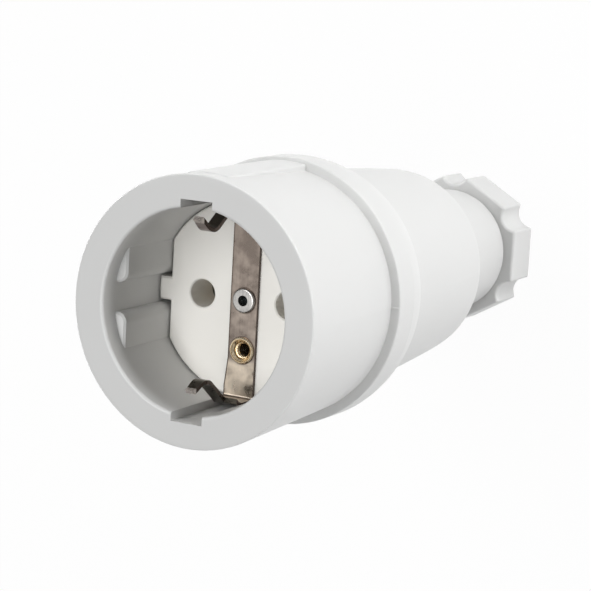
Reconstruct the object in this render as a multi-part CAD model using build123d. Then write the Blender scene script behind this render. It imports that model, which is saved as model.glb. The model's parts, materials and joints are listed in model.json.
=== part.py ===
from build123d import *
import math
import os

# An inline mains socket that stands on its gland nut with its mouth up.
# Millimetres. Z is the axis, X is the line of the two pin holes, Y is the line of the earth strap,
# and the raised pad of the barrel is on the +Y side. Z 0 is the rear face of the gland nut.

# Lengths along the axis, from the gland nut up to the mouth
nut_head_length = 10.0
nut_gap = 0.3            # left open between the nut's head and the neck
neck_length = 24.0
handle_length = 42.7
collar_length = 12.6
barrel_length = 33.4     # from the collar's face to the mouth

# Plug recess in the barrel
recess_r = 19.6
recess_wall = 2.2
recess_depth = 19.8      # from the mouth to the carrier's face
rib_setback = 4.2        # from the mouth to the front of the ribs
rib_height = 2.6         # from the recess wall in to the flat of a rib
rib_gap = 5.8            # width of the groove between two ribs
rib_corner_round = 2.0
rib_front_edge = 0.4
finger_slot_width = 6.8
finger_slot_depth = 1.4  # into the recess wall

# Front barrel, from the recess wall outwards
barrel_hollow = 0.6      # between the recess wall and the spigot's bore
spigot_wall = 1.2
spigot_length = 9.6
spigot_step = 1.2        # from the spigot out to the barrel
barrel_flare = 1.1       # how much wider the barrel is at the mouth
barrel_wall = 2.0
barrel_ring_thickness = 2.6
mouth_outer_round = 1.0
mouth_inner_round = 0.6
bead_height = 0.4
bead_length = 2.0
bead_from_end = 2.0

# Raised pad on the barrel
pad_width = 8.8
pad_height = 0.1         # above the barrel at its mouth
pad_setback = 3.6        # from the mouth to the pad's front end
pad_round = 0.5

# Rear housing
collar_wall = 2.95
collar_draw_in = 1.7     # from the collar's straight part to its rear edge
collar_bulge = 0.28      # how far the collar's curve bows out from straight
collar_straight = 6.2    # straight length before the collar curves in to its rear face
collar_edge_round = 1.2
collar_step = 2.3        # from the collar's rear edge in to the handle
handle_taper = 2.8       # how much narrower the handle is at its rear end
handle_bulge = 0.45      # how far the handle's outline bows out from straight
handle_rear_round = 6.6
housing_wall = 2.4
neck_wall = 2.7
neck_round = 0.8
neck_end_round = 0.5
gland_bore_r = 10.9
gland_bore_depth = 19.7
seal_seat_thickness = 2.6
cord_hole_r = 6.0
cord_funnel = 3.2        # how much the cord hole widens towards the handle
post_count = 4
post_thickness = 2.4
post_reach = 2.8         # from the handle's wall towards the axis
post_bite = 1.0          # how deep a post runs into the handle's wall
post_length = 25.0

# Gland nut, its slip washer and its seal
nut_overhang = 2.05      # from the neck out to the flat of a lobe
nut_lobes = 6
nut_scallop_r = 3.2
nut_scallop_from_flat = 0.9    # from the bottom of a scallop out to the flats
nut_lobe_round = 0.5
nut_head_round = 0.6
nut_thread_length = 10.0
nut_thread_play = 0.3    # radial, between the nut's thread and the neck's bore
nut_bore_r = 5.4
nut_entry_round = 2.2
slip_washer_thickness = 1.2
slip_washer_hole_play = 0.3    # radial, wider than the nut's bore
gland_ring_play = 0.5    # radial, round the slip washer and the seal
seal_hole_r = 5.0

# Contact carrier and its cover
carrier_play = 0.25      # radial, in the recess
flange_play = 0.3        # radial, in the spigot
carrier_flange_thickness = 3.0
carrier_front_wall = 8.3
carrier_body_depth = 11.2  # from the carrier's face to its flange
carrier_edge = 0.4
tongue_width = 4.6
pin_spacing = 19.0
pin_hole_r = 2.75
pin_hole_edge = 0.25
chamber_r = 4.4
cover_play = 0.7         # radial, between the posts
cover_thickness = 2.4

# Earth strap, a strip with a finger at each end
strap_side_gap = 0.15    # to each side of the finger slot
strap_end_gap = 1.1      # from the outside of the bend to the slot's floor
strap_thickness = 0.8
strap_bend_r = 0.4
strap_waist = 0.6        # how much narrower the strip is above the bush, on its -X edge
strap_waist_below_bush = 1.7   # from the bush's middle to the end of the waist
strap_waist_taper = 5.5  # length over which the strip widens below the waist
finger_inset = 1.25      # from the strip's -X edge to the finger
finger_width = 2.5
finger_tip_width = 2.0
finger_root_below_mouth = 13.0  # where a finger leaves the strap's full width
finger_knee_below_mouth = 14.2
finger_knee_r = 3.0
finger_ridge_reach = 5.3 # from the recess wall in to the ridge
finger_ridge_below_mouth = 6.3
finger_ridge_r = 2.6
finger_ridge_lean = 0.4  # both fingers are bent a little towards +Y
finger_tip_reach = 2.8   # from the recess wall in to the tip
finger_tip_below_mouth = 3.0
finger_tip_lean = 0.85

# Rivet and brass bush
fastener_x = 0.45        # both sit on the middle of the narrowed strap
rivet_r = 1.5
rivet_head_r = 2.4
rivet_head_height = 0.7
rivet_hole_r = 1.05
rivet_hole_depth = 6.0
bush_from_wall = 9.8     # from the recess wall in to the bush's middle
bush_r = 2.2
bush_head_r = 2.6
bush_head_height = 0.5
bush_lip = 0.45          # width of the lip round the countersink
bush_sink_depth = 0.6
bush_thread_r = 1.55
fit_play = 0.15          # radial, for pins, rivets and screws in their holes

# Contacts
sleeve_bore_r = 2.45
sleeve_r = 3.15
sleeve_shoulder_r = 4.1
sleeve_shoulder_length = 1.2
sleeve_slot = 0.8
sleeve_below_wall = 1.5  # from the carrier's front wall down to the sleeve
terminal_width = 7.4
terminal_length = 8.4
wire_hole_r = 1.8
wire_hole_depth = 6.0
spring_thickness = 0.5
spring_length = 2.7
spring_gap_deg = 60.0
spring_below_wall = 1.8

# Screws
screw_r = 1.5
screw_head_r = 2.6
screw_head_height = 2.0
screw_slot_width = 0.7
screw_slot_depth = 0.9
earth_washer_side = 6.4
earth_washer_thickness = 0.8
earth_screw_length = 10.0

# Cord clamp
clamp_height_in_handle = 12.0   # above the handle's floor
clamp_screw_spacing = 20.0
clamp_boss_r = 3.2
clamp_seat_y = 3.0
clamp_bar_length = 26.4
clamp_bar_thickness = 4.0
clamp_bar_width = 8.0
clamp_arch_r = 6.0
clamp_screw_length = 11.0

pick_tolerance = 0.01    # for finding edges and corners by their place

# Heights of the main faces
neck_end_z = nut_head_length + nut_gap
neck_root_z = neck_end_z + neck_length
collar_rear_z = neck_root_z + handle_length
collar_face_z = collar_rear_z + collar_length
mouth_z = collar_face_z + barrel_length
carrier_face_z = mouth_z - recess_depth
flange_top_z = carrier_face_z - carrier_body_depth
flange_rear_z = flange_top_z - carrier_flange_thickness
cover_rear_z = flange_rear_z - cover_thickness
spigot_end_z = collar_face_z - spigot_length
seal_seat_z = neck_end_z + gland_bore_depth
handle_floor_z = neck_root_z + housing_wall
strap_top_z = carrier_face_z + strap_thickness
nut_thread_end_z = nut_head_length + nut_thread_length
slip_washer_top_z = nut_thread_end_z + slip_washer_thickness
clamp_z = handle_floor_z + clamp_height_in_handle

# Radii and widths that follow from their neighbours, from the recess outwards
rib_flat = recess_r - rib_height
finger_slot_r = recess_r + finger_slot_depth
spigot_bore_r = recess_r + recess_wall + barrel_hollow
spigot_r = spigot_bore_r + spigot_wall
barrel_step_r = spigot_r + spigot_step
barrel_mouth_r = barrel_step_r + barrel_flare
pad_r = barrel_mouth_r + pad_height
collar_bore_r = spigot_r + fit_play
collar_r = collar_bore_r + collar_wall
collar_rear_r = collar_r - collar_draw_in
handle_front_r = collar_rear_r - collar_step
handle_rear_r = handle_front_r - handle_taper
handle_bore_r = handle_front_r - housing_wall
post_inner_r = handle_bore_r - post_reach
carrier_flange_r = spigot_bore_r - flange_play
cover_r = post_inner_r - cover_play
neck_r = gland_bore_r + neck_wall
nut_flat_r = neck_r + nut_overhang
strap_width = finger_slot_width - 2 * strap_side_gap
strap_half_length = finger_slot_r - strap_end_gap
bush_y = bush_from_wall - recess_r
strap_waist_y = bush_y - strap_waist_below_bush
finger_ridge_y = recess_r - finger_ridge_reach
finger_tip_y = recess_r - finger_tip_reach
pin_x = pin_spacing / 2
clamp_screw_x = clamp_screw_spacing / 2


# Solid of revolution about Z from corners given as radius and height
def turned(*corners):
    face = make_face(Polyline(*corners, close=True))
    return revolve(Plane.XZ * face, Axis.Z)


# Round bar along Z between two heights
def bar(radius, low, high, x=0.0, y=0.0):
    return Pos(x, y, low) * extrude(Circle(radius), high - low)


# Ring along Z between two heights
def ring(outer, inner, low, high):
    return Pos(0, 0, low) * extrude(Circle(outer) - Circle(inner), high - low)


# Block centred on the axis in X and Y between two heights
def block(width, depth, low, high, x=0.0, y=0.0):
    return Pos(x, y, low) * extrude(Rectangle(width, depth), high - low)


# Circular edges about the axis at one height and radius
def rim(solid, radius, height):
    def fits(edge):
        middle = edge.arc_center
        off_axis = math.hypot(middle.X, middle.Y)
        misses = (off_axis, abs(middle.Z - height), abs(edge.radius - radius))
        return max(misses) < pick_tolerance
    return solid.edges().filter_by(GeomType.CIRCLE).filter_by(fits)


# Outer radius of the barrel at a height, along its taper
def barrel_outer_r(height):
    rise = (height - collar_face_z) / barrel_length
    return barrel_step_r + (barrel_mouth_r - barrel_step_r) * rise


# Sleeve with the plug recess: a double wall that joins at the mouth ring
def make_front_barrel():
    body = turned(
        (0, spigot_end_z),
        (spigot_r, spigot_end_z),
        (spigot_r, collar_face_z),
        (barrel_step_r, collar_face_z),
        (barrel_mouth_r, mouth_z),
        (0, mouth_z),
    )
    body = fillet(rim(body, barrel_mouth_r, mouth_z), mouth_outer_round)
    body += make_pad()
    bead_low_z = spigot_end_z + bead_from_end
    bead_r = spigot_r + bead_height
    body += turned(
        (spigot_r - spigot_wall / 2, bead_low_z),
        (spigot_r, bead_low_z),
        (bead_r, bead_low_z + bead_length / 2),
        (spigot_r, bead_low_z + bead_length),
        (spigot_r - spigot_wall / 2, bead_low_z + bead_length),
    )
    hollow_inner_r = recess_r + recess_wall
    hollow_top_z = mouth_z - barrel_ring_thickness
    body -= bar(spigot_bore_r, spigot_end_z, flange_top_z)
    body -= turned(
        (hollow_inner_r, flange_top_z),
        (hollow_inner_r, hollow_top_z),
        (barrel_outer_r(hollow_top_z) - barrel_wall, hollow_top_z),
        (spigot_bore_r, flange_top_z),
    )
    body -= bar(recess_r, flange_top_z, mouth_z)
    body = fillet(rim(body, recess_r, mouth_z), mouth_inner_round)
    body += make_ribs()
    for side in (1, -1):
        slot_middle_y = side * (finger_slot_r + rib_flat) / 2
        slot_depth = finger_slot_r - rib_flat
        body -= block(finger_slot_width, slot_depth, flange_top_z, mouth_z, y=slot_middle_y)
    return body


# Raised pad along the top of the barrel, from the collar's face to near the mouth
def make_pad():
    front_z = mouth_z - pad_setback
    inside_r = barrel_step_r - barrel_wall / 2
    pad = ring(pad_r, inside_r, collar_face_z, front_z)
    pad &= block(pad_width, pad_r, collar_face_z, front_z, y=inside_r)
    front_edges = pad.faces().sort_by(Axis.Z)[-1].outer_wire().edges()
    outer_front = front_edges.sort_by(Axis.Y)[-1]
    long_edges = pad.edges().filter_by(Axis.Z).group_by(Axis.Y)[-1]
    return fillet(long_edges + [outer_front], pad_round)


# Four ribs on the recess wall, two on each side of a groove
def make_ribs():
    into_wall = recess_wall / 2
    top_z = mouth_z - rib_setback
    outline = Circle(recess_r + into_wall) - Rectangle(2 * rib_flat, 4 * recess_r)
    outline -= Rectangle(4 * recess_r, rib_gap)

    def beside_groove(vertex):
        off_flat = abs(abs(vertex.X) - rib_flat)
        off_groove = abs(abs(vertex.Y) - rib_gap / 2)
        return max(off_flat, off_groove) < pick_tolerance

    def inside_recess(edge):
        middle = edge.center()
        return math.hypot(middle.X, middle.Y) < recess_r

    outline = fillet(outline.vertices().filter_by(beside_groove), rib_corner_round)
    ribs = Pos(0, 0, flange_top_z) * extrude(outline, top_z - flange_top_z)
    front_edges = ribs.edges().group_by(Axis.Z)[-1]
    return chamfer(front_edges.filter_by(inside_recess), rib_front_edge)


# Collar, handle and gland neck in one moulding
def make_rear_housing():
    outside = make_housing_outside()
    body = outside - make_housing_cavity()
    body += make_posts()
    body += make_clamp_bosses() & outside
    for side in (1, -1):
        hole = bar(screw_r + fit_play, -clamp_screw_length, 0)
        body -= Pos(side * clamp_screw_x, clamp_seat_y, clamp_z) * Rot(-90, 0, 0) * hole
    return body


# Outer form of the rear housing, filled
def make_housing_outside():
    curve_start_z = collar_face_z - collar_straight
    handle_middle_r = (handle_front_r + handle_rear_r) / 2 + handle_bulge
    collar_middle_r = (collar_r + collar_rear_r) / 2 + collar_bulge
    outline = [
        Line((0, neck_end_z), (neck_r, neck_end_z)),
        Line((neck_r, neck_end_z), (neck_r, neck_root_z)),
        Line((neck_r, neck_root_z), (handle_rear_r, neck_root_z)),
        ThreePointArc(
            (handle_rear_r, neck_root_z),
            (handle_middle_r, (neck_root_z + collar_rear_z) / 2),
            (handle_front_r, collar_rear_z),
        ),
        Line((handle_front_r, collar_rear_z), (collar_rear_r, collar_rear_z)),
        ThreePointArc(
            (collar_rear_r, collar_rear_z),
            (collar_middle_r, (collar_rear_z + curve_start_z) / 2),
            (collar_r, curve_start_z),
        ),
        Line((collar_r, curve_start_z), (collar_r, collar_face_z)),
        Line((collar_r, collar_face_z), (0, collar_face_z)),
        Line((0, collar_face_z), (0, neck_end_z)),
    ]
    face = make_face(outline)
    rear_room = handle_rear_r - neck_r - neck_round - pick_tolerance
    rounds = [
        (handle_rear_r, neck_root_z, min(handle_rear_round, rear_room)),
        (neck_r, neck_root_z, neck_round),
        (neck_r, neck_end_z, neck_end_round),
        (handle_front_r, collar_rear_z, neck_round),
        (collar_rear_r, collar_rear_z, neck_end_round),
        (collar_r, collar_face_z, collar_edge_round),
    ]
    for radius, height, rounding in rounds:
        corner = face.vertices().sort_by_distance((radius, height, 0))[0]
        face = fillet(corner, rounding)
    return revolve(Plane.XZ * face, Axis.Z)


# Hollow of the rear housing: gland bore, cord hole, handle and the collar's bore
def make_housing_cavity():
    bead_z = spigot_end_z + bead_from_end + bead_length / 2
    half_bead = bead_length / 2 + fit_play
    floor_r = handle_rear_r - housing_wall
    floor_round = handle_rear_round / 2
    seat_top_z = seal_seat_z + seal_seat_thickness
    shoulder_z = spigot_end_z - fit_play
    cavity = turned(
        (0, neck_end_z),
        (gland_bore_r, neck_end_z),
        (gland_bore_r, seal_seat_z),
        (cord_hole_r, seal_seat_z),
        (cord_hole_r, seat_top_z),
        (cord_hole_r + cord_funnel, handle_floor_z),
        (floor_r - floor_round, handle_floor_z),
        (floor_r, handle_floor_z + floor_round),
        (handle_bore_r, collar_rear_z),
        (handle_bore_r, shoulder_z),
        (collar_bore_r, shoulder_z),
        (collar_bore_r, bead_z - half_bead),
        (collar_bore_r + bead_height, bead_z),
        (collar_bore_r, bead_z + half_bead),
        (collar_bore_r, collar_face_z),
        (0, collar_face_z),
    )
    return cavity


# Upright plates on the handle's wall that hold the carrier's flange
def make_posts():
    depth = post_reach + post_bite
    middle_x = post_inner_r + depth / 2
    plate = block(depth, post_thickness, flange_rear_z - post_length, flange_rear_z, x=middle_x)
    posts = Part()
    for index in range(post_count):
        angle = 360 / post_count * (index + 0.5)
        posts += Rot(0, 0, angle) * plate
    return posts


# Two bosses that carry the cord clamp, up from the wall on the -Y side
def make_clamp_bosses():
    boss = bar(clamp_boss_r, -(clamp_seat_y + handle_rear_r), 0)
    bosses = Part()
    for side in (1, -1):
        bosses += Pos(side * clamp_screw_x, clamp_seat_y, clamp_z) * Rot(-90, 0, 0) * boss
    return bosses


# Lobed head with flat lobes and scalloped corners, and the hollow thread above it
def make_gland_nut():
    outline = RegularPolygon(nut_flat_r, nut_lobes, major_radius=False, rotation=180 / nut_lobes)
    scallop_middle_r = nut_flat_r - nut_scallop_from_flat + nut_scallop_r
    scallop_places = PolarLocations(scallop_middle_r, nut_lobes, 180 / nut_lobes)
    outline -= scallop_places * Circle(nut_scallop_r)
    outline = fillet(outline.vertices(), nut_lobe_round)
    head = extrude(outline, nut_head_length)
    head_edges = head.edges().group_by(Axis.Z)
    head = fillet(head_edges[0] + head_edges[-1], nut_head_round)
    nut = head + bar(gland_bore_r - nut_thread_play, nut_head_length, nut_thread_end_z)
    nut -= bar(nut_bore_r, 0, nut_thread_end_z)
    return fillet(rim(nut, nut_bore_r, 0), nut_entry_round)


# Ring that lets the nut turn against the seal
def make_slip_washer():
    hole_r = nut_bore_r + slip_washer_hole_play
    return ring(gland_bore_r - gland_ring_play, hole_r, nut_thread_end_z, slip_washer_top_z)


# Rubber ring between the slip washer and its seat
def make_cable_seal():
    return ring(gland_bore_r - gland_ring_play, seal_hole_r, slip_washer_top_z, seal_seat_z)


# Insert at the bottom of the recess, with both pin holes and the chambers behind them
def make_contact_carrier():
    body_r = recess_r - carrier_play
    outline = Circle(body_r) & Rectangle(2 * (rib_flat - carrier_play), 2 * body_r)
    outline += Circle(body_r) & Rectangle(2 * body_r, tongue_width)
    body = Pos(0, 0, flange_top_z) * extrude(outline, carrier_body_depth)
    body = chamfer(body.edges().group_by(Axis.Z)[-1], carrier_edge)
    body += bar(carrier_flange_r, flange_rear_z, flange_top_z)
    for side in (1, -1):
        x = side * pin_x
        body -= bar(pin_hole_r, flange_rear_z, carrier_face_z, x=x)
        body -= bar(chamber_r, flange_rear_z, carrier_face_z - carrier_front_wall, x=x)
        lead_in = Cone(pin_hole_r, pin_hole_r + pin_hole_edge, pin_hole_edge)
        body -= Pos(x, 0, carrier_face_z - pin_hole_edge / 2) * lead_in
    body -= bar(rivet_r + fit_play, flange_rear_z, carrier_face_z, x=fastener_x)
    body -= bar(bush_r + fit_play, flange_rear_z, carrier_face_z, x=fastener_x, y=bush_y)
    return body


# Plate that closes the contact chambers from behind
def make_contact_cover():
    cover = bar(cover_r, cover_rear_z, flange_rear_z)
    for side in (1, -1):
        cover -= bar(sleeve_r + fit_play, cover_rear_z, flange_rear_z, x=side * pin_x)
    cover -= bar(rivet_r + fit_play, cover_rear_z, flange_rear_z, x=fastener_x)
    cover -= bar(bush_r + fit_play, cover_rear_z, flange_rear_z, x=fastener_x, y=bush_y)
    return cover


# Folded strap: a flat run on the carrier, and at each end a leg up the slot with a bent finger.
# The corners lie on the strap's outer face, and its thickness is laid inwards from there.
def make_earth_strap():
    root_z = mouth_z - finger_root_below_mouth
    knee_z = mouth_z - finger_knee_below_mouth
    ridge_z = mouth_z - finger_ridge_below_mouth
    tip_z = mouth_z - finger_tip_below_mouth
    radii = [strap_bend_r + strap_thickness, finger_knee_r + strap_thickness, finger_ridge_r]
    strap = Part()
    for side in (1, -1):
        end_y = side * strap_half_length
        outer = FilletPolyline(
            (0, carrier_face_z),
            (end_y, carrier_face_z),
            (end_y, knee_z),
            (side * finger_ridge_y + finger_ridge_lean, ridge_z),
            (side * finger_tip_y + finger_tip_lean, tip_z),
            radius=radii,
        )
        inwards = Side.LEFT if side > 0 else Side.RIGHT
        section = make_face(offset(outer, strap_thickness, side=inwards, closed=True))
        strap += extrude(Plane.YZ * section, strap_width / 2, both=True)
    edge_x = -strap_width / 2
    finger_x = edge_x + finger_inset
    right_of_finger = Polyline(
        (finger_x + finger_width, root_z),
        (finger_x + finger_width, ridge_z),
        (finger_x + finger_tip_width, tip_z),
        (finger_x + finger_tip_width, mouth_z),
        (strap_width, mouth_z),
        (strap_width, root_z),
        close=True,
    )
    left_of_finger = Polyline(
        (edge_x, strap_top_z),
        (finger_x, root_z),
        (finger_x, mouth_z),
        (-strap_width, mouth_z),
        (-strap_width, strap_top_z),
        close=True,
    )
    for beside in (right_of_finger, left_of_finger):
        strap -= extrude(Plane.XZ * make_face(beside), finger_slot_r, both=True)
    waist = Polyline(
        (edge_x, strap_waist_y - strap_waist_taper),
        (edge_x + strap_waist, strap_waist_y),
        (edge_x + strap_waist, finger_slot_r),
        (-strap_width, finger_slot_r),
        (-strap_width, strap_waist_y - strap_waist_taper),
        close=True,
    )
    strap -= Pos(0, 0, carrier_face_z) * extrude(make_face(waist), mouth_z - carrier_face_z)
    strap -= bar(rivet_r + fit_play, carrier_face_z, mouth_z, x=fastener_x)
    strap -= bar(bush_r + fit_play, carrier_face_z, mouth_z, x=fastener_x, y=bush_y)
    return strap


# Hollow rivet through strap, carrier and cover, with a head at each end
def make_strap_rivet():
    rivet = bar(rivet_r, cover_rear_z, strap_top_z)
    head = bar(rivet_head_r, strap_top_z, strap_top_z + rivet_head_height)
    head = fillet(rim(head, rivet_head_r, strap_top_z + rivet_head_height), rivet_head_height / 2)
    rivet += head
    rivet += bar(rivet_head_r, cover_rear_z - rivet_head_height, cover_rear_z)
    hole_top_z = strap_top_z + rivet_head_height
    rivet -= bar(rivet_hole_r, hole_top_z - rivet_hole_depth, hole_top_z)
    return Pos(fastener_x, 0, 0) * rivet


# Threaded brass bush through strap, carrier and cover
def make_earth_bush():
    head_top_z = strap_top_z + bush_head_height
    bush = bar(bush_r, cover_rear_z, strap_top_z)
    head = bar(bush_head_r, strap_top_z, head_top_z)
    bush += chamfer(rim(head, bush_head_r, head_top_z), bush_head_height / 2)
    bush -= bar(bush_thread_r, cover_rear_z, head_top_z)
    sink_r = bush_head_r - bush_lip
    bush -= turned(
        (0, head_top_z - bush_sink_depth),
        (bush_thread_r, head_top_z - bush_sink_depth),
        (sink_r, head_top_z),
        (0, head_top_z),
    )
    return Pos(fastener_x, bush_y, 0) * bush


# Slotted screw that points along +Z, its head below the seat
def screw(length):
    shank = bar(screw_r, 0, length)
    head = bar(screw_head_r, -screw_head_height, 0)
    head = chamfer(rim(head, screw_head_r, -screw_head_height), screw_slot_depth / 2)
    slot_top = screw_slot_depth - screw_head_height
    slot = block(screw_slot_width, 2 * screw_head_r, -screw_head_height, slot_top)
    return shank + head - slot


# Screw that holds the earth wire against the back of the bush
def make_earth_terminal_screw():
    seat_z = cover_rear_z - earth_washer_thickness
    return Pos(fastener_x, bush_y, seat_z) * screw(earth_screw_length)


# Square washer under the earth screw
def make_earth_wire_washer():
    low = cover_rear_z - earth_washer_thickness
    plate = block(earth_washer_side, earth_washer_side, low, cover_rear_z)
    plate -= bar(screw_r + fit_play, low, cover_rear_z)
    return Pos(fastener_x, bush_y, 0) * plate


# Slit sleeve for a plug pin, with its shoulder in the chamber and its terminal block behind the cover
def make_contact(side):
    sleeve_top_z = carrier_face_z - carrier_front_wall - sleeve_below_wall
    contact = bar(sleeve_r, cover_rear_z, sleeve_top_z)
    contact += bar(sleeve_shoulder_r, flange_rear_z, flange_rear_z + sleeve_shoulder_length)
    contact -= bar(sleeve_bore_r, flange_rear_z, sleeve_top_z)
    slit_low_z = flange_rear_z + sleeve_shoulder_length
    contact -= block(sleeve_slot, 2 * chamber_r, slit_low_z, sleeve_top_z)
    block_low_z = cover_rear_z - terminal_length
    contact += block(terminal_width, terminal_width, block_low_z, cover_rear_z)
    contact -= bar(wire_hole_r, block_low_z, block_low_z + wire_hole_depth)
    screw_hole = bar(screw_r + fit_play, 0, terminal_width)
    contact -= Pos(0, 0, block_low_z + terminal_length / 2) * Rot(-90, 0, 0) * screw_hole
    return Pos(side * pin_x, 0, 0) * contact


# Steel clip round a sleeve, open on one side
def make_spring(side):
    high = carrier_face_z - carrier_front_wall - spring_below_wall
    low = high - spring_length
    inner_r = sleeve_r + fit_play
    clip = ring(inner_r + spring_thickness, inner_r, low, high)
    reach = 2 * sleeve_r
    half_gap = reach * math.tan(math.radians(spring_gap_deg / 2))
    wedge = Polyline((0, 0), (reach, half_gap), (reach, -half_gap), close=True)
    clip -= Pos(0, 0, low) * extrude(make_face(wedge), spring_length)
    return Pos(side * pin_x, 0, 0) * clip


# Screw that clamps a wire in a terminal block, from the +Y side
def make_terminal_screw(side):
    middle_z = cover_rear_z - terminal_length / 2
    reach = terminal_width / 2 - wire_hole_r / 2
    return Pos(side * pin_x, terminal_width / 2, middle_z) * Rot(90, 0, 0) * screw(reach)


# Bridge with an arch for the cord, screwed to the two bosses
def make_cord_clamp():
    low_z = clamp_z - clamp_bar_width / 2
    high_z = clamp_z + clamp_bar_width / 2
    middle_y = clamp_seat_y + clamp_bar_thickness / 2
    clamp = block(clamp_bar_length, clamp_bar_thickness, low_z, high_z, y=middle_y)
    clamp = fillet(clamp.edges().filter_by(Axis.Y), clamp_boss_r)
    clamp -= bar(clamp_arch_r, low_z, high_z)
    for side in (1, -1):
        hole = bar(screw_r + fit_play, -clamp_bar_thickness, 0)
        clamp -= Pos(side * clamp_screw_x, clamp_seat_y, clamp_z) * Rot(90, 0, 0) * hole
    return clamp


# The two screws of the cord clamp
def make_cord_clamp_screws():
    seat_y = clamp_seat_y + clamp_bar_thickness
    one = Rot(90, 0, 0) * screw(clamp_screw_length)
    return Compound([Pos(side * clamp_screw_x, seat_y, clamp_z) * one for side in (1, -1)])


pieces = {
    "front_barrel": make_front_barrel(),
    "rear_housing": make_rear_housing(),
    "gland_nut": make_gland_nut(),
    "slip_washer": make_slip_washer(),
    "cable_seal": make_cable_seal(),
    "contact_carrier": make_contact_carrier(),
    "contact_cover": make_contact_cover(),
    "earth_strap": make_earth_strap(),
    "strap_rivet": make_strap_rivet(),
    "earth_bush": make_earth_bush(),
    "earth_terminal_screw": make_earth_terminal_screw(),
    "earth_wire_washer": make_earth_wire_washer(),
    "live_contact": make_contact(-1),
    "neutral_contact": make_contact(1),
    "live_spring": make_spring(-1),
    "neutral_spring": make_spring(1),
    "live_terminal_screw": make_terminal_screw(-1),
    "neutral_terminal_screw": make_terminal_screw(1),
    "cord_clamp": make_cord_clamp(),
    "cord_clamp_screws": make_cord_clamp_screws(),
}

os.makedirs("parts", exist_ok=True)
for name, solid in pieces.items():
    export_step(solid, f"parts/{name}.step")
    print(name, round(solid.volume, 1))
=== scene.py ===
import bpy
import bmesh
import json
import numpy as np
from mathutils import Matrix, Vector


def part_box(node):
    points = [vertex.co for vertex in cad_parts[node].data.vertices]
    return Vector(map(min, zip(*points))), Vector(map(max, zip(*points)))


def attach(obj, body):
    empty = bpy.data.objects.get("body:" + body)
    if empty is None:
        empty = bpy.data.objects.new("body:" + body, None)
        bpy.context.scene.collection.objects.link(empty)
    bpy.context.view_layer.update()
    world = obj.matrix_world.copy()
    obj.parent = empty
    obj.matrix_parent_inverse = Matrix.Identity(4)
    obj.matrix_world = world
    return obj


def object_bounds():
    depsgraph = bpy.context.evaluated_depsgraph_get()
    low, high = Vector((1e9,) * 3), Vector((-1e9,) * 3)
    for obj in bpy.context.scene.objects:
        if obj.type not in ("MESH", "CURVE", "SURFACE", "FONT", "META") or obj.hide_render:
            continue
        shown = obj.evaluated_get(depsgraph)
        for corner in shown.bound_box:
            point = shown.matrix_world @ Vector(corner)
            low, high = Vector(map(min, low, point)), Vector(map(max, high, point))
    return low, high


mm = 0.001

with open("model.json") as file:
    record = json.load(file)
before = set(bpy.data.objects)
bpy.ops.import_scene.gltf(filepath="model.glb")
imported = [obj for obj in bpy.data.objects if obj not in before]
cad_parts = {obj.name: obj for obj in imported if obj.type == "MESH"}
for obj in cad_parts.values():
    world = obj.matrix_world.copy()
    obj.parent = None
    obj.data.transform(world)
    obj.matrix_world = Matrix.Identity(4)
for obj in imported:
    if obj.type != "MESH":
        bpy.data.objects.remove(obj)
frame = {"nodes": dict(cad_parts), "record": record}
nodes = frame["nodes"]
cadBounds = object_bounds()
print("frame loaded:", len(nodes), "nodes")

# The object stands on its gland nut, mouth up. X runs through the pin holes, Y along the earth strap.

# Camera: where it stands in metres, the directions of its right and top, its lens and sensor in mm,
# and the nearest distance that it shows
cameraSet = {
    "place": (0.215512, 0.076701, 0.4826),
    "right": (0.87451, 0.05458, -0.48194),
    "top": (-0.12936, 0.9839, -0.12331),
    "lens": 140.1,
    "sensor": 36.0,
    "nearest": 0.01,
}


def addCamera(s):
    right = Vector(s["right"]).normalized()
    back = right.cross(Vector(s["top"])).normalized()
    top = back.cross(right)
    data = bpy.data.cameras.new("camera")
    data.lens = s["lens"]
    data.sensor_width = s["sensor"]
    data.sensor_fit = "HORIZONTAL"
    data.clip_start = s["nearest"]
    camera = bpy.data.objects.new("camera", data)
    camera.matrix_world = Matrix((
        (right.x, top.x, back.x, s["place"][0]),
        (right.y, top.y, back.y, s["place"][1]),
        (right.z, top.z, back.z, s["place"][2]),
        (0, 0, 0, 1),
    ))
    bpy.context.scene.collection.objects.link(camera)
    bpy.context.scene.camera = camera


addCamera(cameraSet)
bpy.context.scene.view_settings.view_transform = "Standard"
print("camera set")


# Shader helpers

# sockets of the Mix node in its colour form
mixUnder = 6
mixUpper = 7
mixResult = 2


def newMaterial(name):
    mat = bpy.data.materials.new(name)
    mat.use_nodes = True
    return mat, mat.node_tree, mat.node_tree.nodes["Principled BSDF"]


def newGroup(name, inputs, outputs):
    tree = bpy.data.node_groups.new(name, "ShaderNodeTree")
    for socketName in inputs:
        tree.interface.new_socket(name=socketName, in_out="INPUT", socket_type="NodeSocketFloat")
    for socketName in outputs:
        tree.interface.new_socket(name=socketName, in_out="OUTPUT", socket_type="NodeSocketFloat")
    return tree, tree.nodes.new("NodeGroupInput").outputs, tree.nodes.new("NodeGroupOutput").inputs


def placeGroup(tree, group, values):
    node = tree.nodes.new("ShaderNodeGroup")
    node.node_tree = group
    for socketName, value in values.items():
        node.inputs[socketName].default_value = value
    return node.outputs


# a number is set on the socket, anything else is linked to it
def feed(tree, value, socket):
    if isinstance(value, (int, float)):
        socket.default_value = value
    else:
        tree.links.new(value, socket)


def math(tree, operation, *values):
    node = tree.nodes.new("ShaderNodeMath")
    node.operation = operation
    for value, socket in zip(values, node.inputs):
        feed(tree, value, socket)
    return node.outputs[0]


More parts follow.
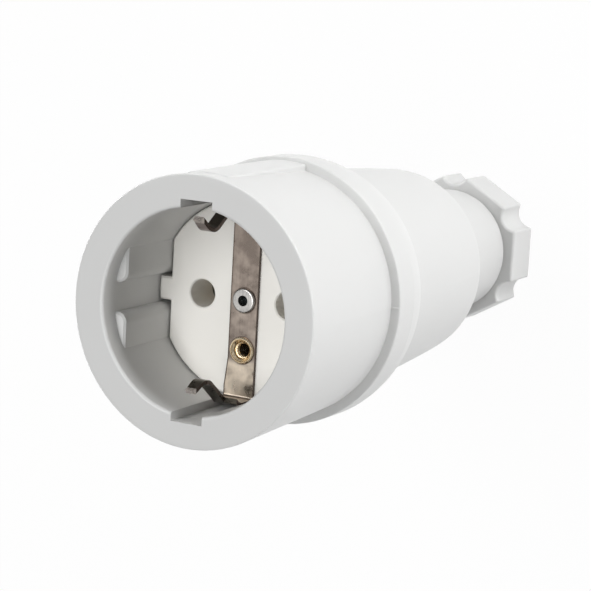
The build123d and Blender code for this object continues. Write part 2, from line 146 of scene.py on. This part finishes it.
# a colour laid by a mask over another colour, which is a tuple or comes from a node
def mixOver(tree, mask, under, colour):
    mix = tree.nodes.new("ShaderNodeMix")
    mix.data_type = "RGBA"
    mix.inputs[mixUpper].default_value = (*colour, 1)
    tree.links.new(mask, mix.inputs[0])
    if isinstance(under, tuple):
        mix.inputs[mixUnder].default_value = (*under, 1)
    else:
        tree.links.new(under, mix.inputs[mixUnder])
    return mix.outputs[mixResult]


# 0 before the first value, 1 after the second
def between(tree, value, first, second):
    node = tree.nodes.new("ShaderNodeMapRange")
    node.inputs["From Min"].default_value = first
    node.inputs["From Max"].default_value = second
    tree.links.new(value, node.inputs["Value"])
    return node.outputs[0]


# low where the mask is 0, high where it is 1
def spread(tree, mask, low, high):
    node = tree.nodes.new("ShaderNodeMapRange")
    node.inputs["To Min"].default_value = low
    node.inputs["To Max"].default_value = high
    tree.links.new(mask, node.inputs["Value"])
    return node.outputs[0]


def noise(tree, vector, scale, detail):
    node = tree.nodes.new("ShaderNodeTexNoise")
    node.inputs["Detail"].default_value = detail
    tree.links.new(vector, node.inputs["Vector"])
    feed(tree, scale, node.inputs["Scale"])
    return node.outputs["Fac"]


def stretched(tree, vector, scale, turn=0.0):
    node = tree.nodes.new("ShaderNodeMapping")
    node.inputs["Scale"].default_value = scale
    node.inputs["Rotation"].default_value = (0, 0, turn)
    tree.links.new(vector, node.inputs["Vector"])
    return node.outputs[0]


def objectCoords(tree):
    return tree.nodes.new("ShaderNodeTexCoord").outputs["Object"]


def splitXyz(tree, vector):
    node = tree.nodes.new("ShaderNodeSeparateXYZ")
    tree.links.new(vector, node.inputs[0])
    return node.outputs


def addBump(tree, shader, height, strength, distance):
    bump = tree.nodes.new("ShaderNodeBump")
    bump.inputs["Strength"].default_value = strength
    bump.inputs["Distance"].default_value = distance
    tree.links.new(height, bump.inputs["Height"])
    tree.links.new(bump.outputs[0], shader.inputs["Normal"])


def middleOf(node):
    low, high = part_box(node)
    return (low + high) / 2


# distance from the upright line through a point, and height
def roundLine(tree, middle):
    shift = tree.nodes.new("ShaderNodeVectorMath")
    shift.operation = "SUBTRACT"
    shift.inputs[1].default_value = (middle.x, middle.y, 0)
    tree.links.new(objectCoords(tree), shift.inputs[0])
    place = splitXyz(tree, shift.outputs[0])
    across = math(tree, "MULTIPLY", place["X"], place["X"])
    square = math(tree, "MULTIPLY_ADD", place["Y"], place["Y"], across)
    return math(tree, "SQRT", square), place["Z"]


# Moulded skin: fine spark-eroded grain, soft flow marks along the axis, and a slow change of gloss
skinSet = {
    "grainDetail": 3.0,
    "flowDetail": 4.0,
    "flowStretch": (1.0, 1.0, 0.35),
    "flowShare": 0.6,
    "speckScale": 2600.0,
    "speckDetail": 1.0,
    "speckShare": 0.4,
}


def buildMouldSkin(s):
    tree, given, result = newGroup("mouldSkin", ("Grain Scale", "Flow Scale"), ("Height", "Tone", "Gloss"))
    coords = objectCoords(tree)
    grain = noise(tree, coords, given["Grain Scale"], s["grainDetail"])
    flow = noise(tree, stretched(tree, coords, s["flowStretch"]), given["Flow Scale"], s["flowDetail"])
    speck = noise(tree, coords, s["speckScale"], s["speckDetail"])
    slowGloss = math(tree, "MULTIPLY", flow, s["flowShare"])
    tree.links.new(grain, result["Height"])
    tree.links.new(flow, result["Tone"])
    tree.links.new(math(tree, "MULTIPLY_ADD", speck, s["speckShare"], slowGloss), result["Gloss"])
    return tree


# Handling marks on metal: long scratches along Y, and cloudy tarnish
marksSet = {
    "scratchStretch": (1.0, 0.04, 1.0),
    "scratchTurn": 0.05,
    "scratchDetail": 3.0,
    "scratchLimits": (0.42, 0.62),
    "cloudDetail": 4.0,
    "cloudLimits": (0.35, 0.68),
}


def buildMetalMarks(s):
    scales = ("Scratch Scale", "Cloud Scale")
    tree, given, result = newGroup("metalMarks", scales, ("Scratch", "Cloud", "Height"))
    coords = objectCoords(tree)
    along = stretched(tree, coords, s["scratchStretch"], s["scratchTurn"])
    scratch = noise(tree, along, given["Scratch Scale"], s["scratchDetail"])
    cloud = noise(tree, coords, given["Cloud Scale"], s["cloudDetail"])
    tree.links.new(between(tree, scratch, *s["scratchLimits"]), result["Scratch"])
    tree.links.new(between(tree, cloud, *s["cloudLimits"]), result["Cloud"])
    tree.links.new(scratch, result["Height"])
    return tree


mouldSkin = buildMouldSkin(skinSet)
metalMarks = buildMetalMarks(marksSet)


# Satin white moulding of barrel, housing and nut
whiteSet = {
    "dark": (0.715, 0.717, 0.710),
    "light": (0.745, 0.747, 0.740),
    "gloss": (0.36, 0.50),
    "grainScale": 9000.0,
    "flowScale": 60.0,
    "bump": 0.05,
    "bumpDepth": 0.02 * mm,
}

# Warmer, duller moulding of the contact carrier and the other inner pieces
insertSet = {
    "dark": (0.875, 0.855, 0.805),
    "light": (0.905, 0.890, 0.850),
    "gloss": (0.50, 0.62),
    "grainScale": 6000.0,
    "flowScale": 90.0,
    "bump": 0.08,
    "bumpDepth": 0.03 * mm,
}

# Matt black rubber of the seal
rubberSet = {
    "dark": (0.022, 0.022, 0.023),
    "light": (0.045, 0.045, 0.046),
    "gloss": (0.62, 0.8),
    "grainScale": 4000.0,
    "flowScale": 200.0,
    "bump": 0.2,
    "bumpDepth": 0.04 * mm,
}


def makeMoulded(name, s):
    mat, tree, shader = newMaterial(name)
    skin = placeGroup(tree, mouldSkin, {"Grain Scale": s["grainScale"], "Flow Scale": s["flowScale"]})
    tree.links.new(mixOver(tree, skin["Tone"], s["dark"], s["light"]), shader.inputs["Base Color"])
    tree.links.new(spread(tree, skin["Gloss"], *s["gloss"]), shader.inputs["Roughness"])
    addBump(tree, shader, skin["Height"], s["bump"], s["bumpDepth"])
    return mat


# what the three metals share: their marks, and how colour, gloss and marks reach the shader
def placeMarks(tree, s):
    return placeGroup(tree, metalMarks, {"Scratch Scale": s["scratchScale"], "Cloud Scale": s["cloudScale"]})


def finishMetal(tree, shader, body, gloss, marks, s):
    tree.links.new(body, shader.inputs["Base Color"])
    shader.inputs["Metallic"].default_value = 1.0
    tree.links.new(spread(tree, gloss, *s["gloss"]), shader.inputs["Roughness"])
    addBump(tree, shader, marks["Height"], s["bump"], s["bumpDepth"])


# painted shade down a hole round an upright line
def paintHoleShade(tree, body, radius, height, s):
    inside = math(tree, "LESS_THAN", radius, s["holeR"])
    deep = between(tree, height, s["holeFrom"], s["holeTo"])
    return mixOver(tree, math(tree, "MULTIPLY", inside, deep), body, s["hole"])


# Dull nickel on the folded strap: brownish clouds, faint scratches, darker sheared edge faces, and painted
# light: painted shade towards +Y, a painted shade line along the left edge, a painted contact shadow close
# round rivet and bush, a painted reflection that makes the stretch beyond the bush paler, painted shade on
# the fingers, a painted reflection on the inner side of the tips, and painted highlights on the ends.
# The facing values are limits on one direction of the surface's normal.
nickelSet = {
    "dark": (0.185, 0.152, 0.130),
    "light": (0.330, 0.280, 0.240),
    "gloss": (0.24, 0.40),
    "scratchScale": 2400.0,
    "scratchShare": 0.15,
    "cloudScale": 420.0,
    "cloudShare": 0.85,
    "bump": 0.05,
    "bumpDepth": 0.02 * mm,
    "upperShade": -0.4,
    "upperShadeFrom": 1.0 * mm,
    "upperShadeTo": 12.0 * mm,
    # pale: painted reflection on the stretch beyond the bush
    "pale": (0.740, 0.640, 0.520),
    "paleFrom": -11.4 * mm,
    "paleTo": -13.0 * mm,
    "paleShare": (0.45, 1.0),
    "flatFacing": (0.8, 0.95),
    # edge: colour of the darker sheared edge faces and of the painted shade line along the left edge
    "edge": (0.090, 0.068, 0.056),
    "edgePlace": -2.65 * mm,
    "edgeWidth": 0.30 * mm,
    "edgeTop": 104.2 * mm,
    "edgeFacing": (0.5, 0.8),
    "contactShadow": (0.060, 0.044, 0.036),
    "contactShadowWidth": 0.32 * mm,
    "taperFrom": -11.5 * mm,
    "taperTo": -17.0 * mm,
    "taper": 0.60 * mm,
    "finger": (0.105, 0.094, 0.076),
    "fingerFrom": 104.8 * mm,
    "fingerTo": 106.2 * mm,
    "tip": (0.420, 0.360, 0.340),
    "tipFrom": 117.0 * mm,
    "tipTo": 118.4 * mm,
    "tipFacing": (-0.1, -0.5),
    # end: painted highlight on the ends of the fingers
    "end": (0.760, 0.690, 0.650),
    "endFrom": 119.7 * mm,
    "endTo": 119.9 * mm,
}


def makeNickelStrip(s):
    mat, tree, shader = newMaterial("nickelStrip")
    marks = placeMarks(tree, s)
    coords = tree.nodes.new("ShaderNodeTexCoord").outputs
    place = splitXyz(tree, coords["Object"])
    facing = splitXyz(tree, coords["Normal"])
    scratches = math(tree, "MULTIPLY", marks["Scratch"], s["scratchShare"])
    mask = math(tree, "MULTIPLY_ADD", marks["Cloud"], s["cloudShare"], scratches)
    # painted shade: the strip darker towards +Y
    mask = math(tree, "MULTIPLY_ADD", between(tree, place["Y"], s["upperShadeFrom"], s["upperShadeTo"]), s["upperShade"], mask)
    body = mixOver(tree, mask, s["dark"], s["light"])
    # the painted reflection that makes the stretch beyond the bush paler is on the flat run only
    flat = between(tree, facing["Z"], *s["flatFacing"])
    beyond = math(tree, "MULTIPLY", between(tree, place["Y"], s["paleFrom"], s["paleTo"]), flat)
    pale = math(tree, "MULTIPLY", beyond, spread(tree, mask, *s["paleShare"]))
    body = mixOver(tree, pale, body, s["pale"])
    # painted contact shadow close round the heads of rivet and bush
    for head in ("strap_rivet", "earth_bush"):
        low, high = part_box(head)
        rim = (high.x - low.x) / 2
        radius, _ = roundLine(tree, middleOf(head))
        body = mixOver(tree, between(tree, radius, rim + s["contactShadowWidth"], rim), body, s["contactShadow"])
    # painted shade on the fingers, and a painted reflection on the inner side of the tips
    body = mixOver(tree, between(tree, place["Z"], s["fingerFrom"], s["fingerTo"]), body, s["finger"])
    inner = between(tree, facing["Y"], *s["tipFacing"])
    tip = math(tree, "MULTIPLY", between(tree, place["Z"], s["tipFrom"], s["tipTo"]), inner)
    body = mixOver(tree, tip, body, s["tip"])
    # darker sheared edge faces, and a painted shade line along the left edge on the top face, which the
    # strip's taper moves outwards
    sheared = between(tree, math(tree, "ABSOLUTE", facing["X"]), *s["edgeFacing"])
    taper = between(tree, place["Y"], s["taperFrom"], s["taperTo"])
    fromEdge = math(tree, "MULTIPLY_ADD", taper, s["taper"], place["X"])
    paintedEdgeShade = between(tree, fromEdge, s["edgePlace"] + s["edgeWidth"], s["edgePlace"] + s["edgeWidth"] / 2)
    paintedEdgeShade = math(tree, "MULTIPLY", paintedEdgeShade, math(tree, "LESS_THAN", place["Z"], s["edgeTop"]))
    body = mixOver(tree, math(tree, "MAXIMUM", sheared, paintedEdgeShade), body, s["edge"])
    # painted highlight on the ends
    body = mixOver(tree, between(tree, place["Z"], s["endFrom"], s["endTo"]), body, s["end"])
    finishMetal(tree, shader, body, marks["Cloud"], marks, s)
    return mat


# Bright zinc on rivet and screws, with painted shade down the hole of the rivet
steelSet = {
    "dark": (0.36, 0.35, 0.34),
    "light": (0.49, 0.475, 0.455),
    "gloss": (0.26, 0.40),
    "scratchScale": 5200.0,
    "cloudScale": 700.0,
    "bump": 0.1,
    "bumpDepth": 0.01 * mm,
    "hole": (0.20, 0.215, 0.22),
    "holeR": 1.10 * mm,
    "holeFrom": 104.3 * mm,
    "holeTo": 102.6 * mm,
}


def makePlatedSteel(s):
    mat, tree, shader = newMaterial("platedSteel")
    marks = placeMarks(tree, s)
    radius, height = roundLine(tree, middleOf("strap_rivet"))
    body = mixOver(tree, marks["Cloud"], s["dark"], s["light"])
    body = paintHoleShade(tree, body, radius, height, s)
    finishMetal(tree, shader, body, marks["Scratch"], marks, s)
    return mat


# Turned brass of bush and contacts: painted shade rings on the bush's head for the shaded grooves, and
# painted shade down its threaded hole
brassSet = {
    "dark": (0.80, 0.640, 0.420),
    "light": (0.97, 0.860, 0.660),
    "gloss": (0.20, 0.34),
    "scratchScale": 4200.0,
    "cloudScale": 800.0,
    "bump": 0.08,
    "bumpDepth": 0.01 * mm,
    "groove": (0.36, 0.245, 0.125),
    "grooveLimits": (-0.2, -0.8),
    "ringPitch": 0.53 * mm,
    "ringFirst": 1.40 * mm,
    "ringLast": 2.75 * mm,
    "hole": (0.035, 0.025, 0.014),
    "holeR": 1.66 * mm,
    "holeFrom": 103.7 * mm,
    "holeTo": 102.2 * mm,
}


def makeBrass(s):
    mat, tree, shader = newMaterial("brass")
    marks = placeMarks(tree, s)
    radius, height = roundLine(tree, middleOf("earth_bush"))
    body = mixOver(tree, marks["Cloud"], s["dark"], s["light"])
    # painted shade rings: cos(2 pi (r - first) / pitch), with the painted shade where it is lowest
    turn = 2 * np.pi / s["ringPitch"]
    wave = math(tree, "COSINE", math(tree, "MULTIPLY_ADD", radius, turn, -turn * s["ringFirst"]))
    onHead = math(tree, "LESS_THAN", radius, s["ringLast"])
    groove = math(tree, "MULTIPLY", between(tree, wave, *s["grooveLimits"]), onHead)
    body = mixOver(tree, groove, body, s["groove"])
    body = paintHoleShade(tree, body, radius, height, s)
    finishMetal(tree, shader, body, marks["Scratch"], marks, s)
    return mat


finishes = {
    "white_plastic": makeMoulded("whitePlastic", whiteSet),
    "insert_plastic": makeMoulded("insertPlastic", insertSet),
    "seal_rubber": makeMoulded("sealRubber", rubberSet),
    "nickel_strip": makeNickelStrip(nickelSet),
    "plated_steel": makePlatedSteel(steelSet),
    "brass": makeBrass(brassSet),
}

# every node takes the finish of the slot that the record gives it
for subpart in frame["record"]["subparts"]:
    node = nodes[subpart["node"]]
    node.data.materials.clear()
    node.data.materials.append(finishes[subpart["material_slot"]])
print("finishes set:", len(finishes))


# Tube over a grid of points, rows along it by columns round it. It joins up with its first row,
# or it has a cap on each end.
def addTube(name, points, body, slot, joined=False):
    rows, columns = points.shape[:2]
    index = np.arange(rows * columns).reshape(rows, columns)
    caps = [index[0].tolist(), index[-1].tolist()]
    if joined:
        index = np.vstack([index, index[:1]])
        caps = []
    after = np.roll(index, -1, axis=1)
    quads = np.stack([index[:-1], after[:-1], after[1:], index[1:]], axis=-1).reshape(-1, 4)
    mesh = bpy.data.meshes.new(name)
    mesh.from_pydata(points.reshape(-1, 3), [], quads.tolist() + caps)
    shell = bmesh.new()
    shell.from_mesh(mesh)
    bmesh.ops.recalc_face_normals(shell, faces=shell.faces)
    shell.to_mesh(mesh)
    shell.free()
    mesh.shade_smooth()
    piece = bpy.data.objects.new(name, mesh)
    bpy.context.scene.collection.objects.link(piece)
    mesh.materials.append(finishes[slot])
    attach(piece, body)
    return piece


# Crisp front edges of collar and mouth, which fill the rounder edges of the solids. The section runs
# along the flat face, round an arc of radius edge, down the side, which leans out by lean towards
# the face, and back inside the solid. It goes round the axis: x = r cos(a), y = r sin(a).
# Lengths are in mm, angles in radians.
edgeSet = {
    "collar": {"node": "rear_housing", "round": 1.2, "lean": 0.0},
    "mouth": {"node": "front_barrel", "round": 1.0, "lean": 0.0329},
}
edgeForm = {"edge": 0.3, "arcPoints": 8, "steps": 360, "sharpAngle": 0.5}


def addEdge(name, s, form):
    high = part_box(s["node"])[1]
    run = 1 / np.tan((np.pi / 2 - s["lean"]) / 2)    # from the corner to where a radius of 1 begins
    rounded = s["round"] * mm
    edge = form["edge"] * mm
    cornerR = high.x + run * rounded * np.sin(s["lean"])
    arc = np.linspace(np.pi / 2, -s["lean"], form["arcPoints"])
    sideEnd = run * rounded
    r = np.concatenate([
        [cornerR - sideEnd, cornerR - sideEnd],
        cornerR - run * edge + edge * np.cos(arc),
        [cornerR - sideEnd * np.sin(s["lean"])],
    ])
    z = np.concatenate([
        [high.z - rounded, high.z],
        high.z - edge + edge * np.sin(arc),
        [high.z - sideEnd * np.cos(s["lean"])],
    ])
    a = np.linspace(0, 2 * np.pi, form["steps"], endpoint=False)[:, None]
    x = r * np.cos(a)
    points = np.stack([x, r * np.sin(a), np.broadcast_to(z, x.shape)], axis=-1)
    piece = addTube(name, points, "housing", "white_plastic", joined=True)
    piece.data.set_sharp_from_angle(angle=form["sharpAngle"])


for part, edge in edgeSet.items():
    addEdge(part + "Edge", edge, edgeForm)
print("crisp edges added")

# Mark of the mould's parting line across the collar's front face, in the plane y = 0. Round its section,
# at angle t, it stands above the face by height * sin(t), or below it by foot * sin(t), at
# y = halfWidth * cos(t). It runs straight inwards between two radii. Lengths are in mm.
seamSet = {
    "node": "rear_housing",
    "radii": (26.4, 25.2),
    "height": 0.15,
    "foot": 0.06,
    "halfWidth": 0.16,
    "rows": 7,
    "columns": 8,
}


def addSeam(name, s, side):
    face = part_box(s["node"])[1].z
    r = np.linspace(*s["radii"], s["rows"])[:, None] * mm
    t = np.linspace(0, 2 * np.pi, s["columns"], endpoint=False)
    off = np.where(np.sin(t) > 0, s["height"], s["foot"]) * mm * np.sin(t)
    grids = np.broadcast_arrays(side * r, s["halfWidth"] * mm * np.cos(t), face + off)
    addTube(name, np.stack(grids, axis=-1), "housing", "white_plastic")


addSeam("collarSeamRight", seamSet, 1)
addSeam("collarSeamLeft", seamSet, -1)
print("collar marks added")

# Threads: a ridge carried along the helix x = r cos(a), y = r sin(a), z = low + pitch * a / (2 pi).
# Its section is a trapezium from the foot, inside the wall, to the crest. It fades in and out over
# a quarter of a turn, by 3 f^2 - 2 f^3. Lengths are in mm, and steps are for each turn.
glandThreadSet = {
    "middle": Vector((0, 0, 0)), "low": 10.9, "high": 19.3, "pitch": 2.0,
    "footR": 10.5, "crestR": 10.84, "footWidth": 1.4, "crestWidth": 0.6, "steps": 96,
}
bushThreadSet = {
    "middle": middleOf("earth_bush"), "low": 96.8, "high": 103.8, "pitch": 0.7,
    "footR": 1.62, "crestR": 1.27, "footWidth": 0.5, "crestWidth": 0.12, "steps": 40,
}


def addThread(name, s, body, slot):
    turns = (s["high"] - s["low"]) / s["pitch"]
    a = np.linspace(0, 2 * np.pi * turns, int(turns * s["steps"]))
    fade = np.clip(np.minimum(a, a[-1] - a) / (np.pi / 2), 0, 1)
    fade = fade * fade * (3 - 2 * fade)
    crest = s["footR"] + (s["crestR"] - s["footR"]) * fade
    foot = np.full_like(a, s["footR"])
    r = np.stack([foot, crest, crest, foot], axis=1) * mm
    lift = np.array([-s["footWidth"], -s["crestWidth"], s["crestWidth"], s["footWidth"]]) / 2
    z = (s["low"] + s["pitch"] * a[:, None] / (2 * np.pi) + lift) * mm
    x = s["middle"].x + r * np.cos(a)[:, None]
    y = s["middle"].y + r * np.sin(a)[:, None]
    addTube(name, np.stack([x, y, z], axis=-1), body, slot)


addThread("glandThread", glandThreadSet, "nut", "white_plastic")
addThread("bushThread", bushThreadSet, "housing", "brass")
print("threads added")


# Lights: soft boxes, each with its direction from the target, distance, width, height and power.
# Those at the sides are low, so that they light the body and not the recess.
lightSet = {
    "front": {"from": (-0.09, 0.13, 1.0), "distance": 1.2, "size": (0.38, 1.2), "power": 11.2},
    "upperRight": {"from": (0.7, 0.7, 0.11), "distance": 0.6, "size": (0.6, 0.12), "power": 2.6},
    "lowerRight": {"from": (0.9, -0.5, 0.16), "distance": 0.6, "size": (0.6, 0.12), "power": 0.65},
    "lower": {"from": (0.2, -1.0, 0.05), "distance": 0.6, "size": (0.6, 0.12), "power": 0.48},
    "left": {"from": (-1.0, 0.1, 0.0), "distance": 0.6, "size": (0.6, 0.12), "power": 2.4},
}
lightTarget = Vector((0, 0, 0.062))


def addLights(s):
    for name, box in s.items():
        data = bpy.data.lights.new(name + "Light", "AREA")
        data.shape = "RECTANGLE"
        data.size, data.size_y = box["size"]
        data.energy = box["power"]
        light = bpy.data.objects.new(name + "Light", data)
        direction = Vector(box["from"]).normalized()
        light.location = lightTarget + direction * box["distance"]
        light.rotation_euler = direction.to_track_quat("Z", "Y").to_euler()
        bpy.context.scene.collection.objects.link(light)


addLights(lightSet)

# Floor and surrounding: white to the camera, a plain pale stage to everything else
stageSet = {
    "side": 3.0,
    "pale": (0.86, 0.86, 0.86),
    "rough": 0.9,
    "showThrough": 0.96,
    "worldLevel": 0.02,
    "white": 1.0,
}


def seenRays(tree):
    rays = tree.nodes.new("ShaderNodeLightPath")
    either = math(tree, "MAXIMUM", rays.outputs["Is Camera Ray"], rays.outputs["Is Glossy Ray"])
    return math(tree, "MAXIMUM", either, rays.outputs["Is Transmission Ray"])


def addFloor(s):
    half = s["side"] / 2
    low = cadBounds[0][2]
    corners = [(-half, -half, low), (half, -half, low), (half, half, low), (-half, half, low)]
    mesh = bpy.data.meshes.new("floor")
    mesh.from_pydata(corners, [], [(0, 1, 2, 3)])
    floor = bpy.data.objects.new("floor", mesh)
    bpy.context.scene.collection.objects.link(floor)
    mat, tree, shader = newMaterial("floorWhite")
    shader.inputs["Base Color"].default_value = (*s["pale"], 1)
    shader.inputs["Roughness"].default_value = s["rough"]
    glow = tree.nodes.new("ShaderNodeEmission")
    glow.inputs["Strength"].default_value = s["white"]
    mixed = tree.nodes.new("ShaderNodeMixShader")
    tree.links.new(math(tree, "MULTIPLY", seenRays(tree), s["showThrough"]), mixed.inputs[0])
    tree.links.new(shader.outputs[0], mixed.inputs[1])
    tree.links.new(glow.outputs[0], mixed.inputs[2])
    tree.links.new(mixed.outputs[0], tree.nodes["Material Output"].inputs["Surface"])
    mesh.materials.append(mat)


def addWorld(s):
    world = bpy.data.worlds.new("studio")
    bpy.context.scene.world = world
    world.use_nodes = True
    tree = world.node_tree
    sky = tree.nodes["Background"]
    sky.inputs["Color"].default_value = (1, 1, 1, 1)
    tree.links.new(spread(tree, seenRays(tree), s["worldLevel"], s["white"]), sky.inputs["Strength"])


addFloor(stageSet)
addWorld(stageSet)
print("lights and stage set")
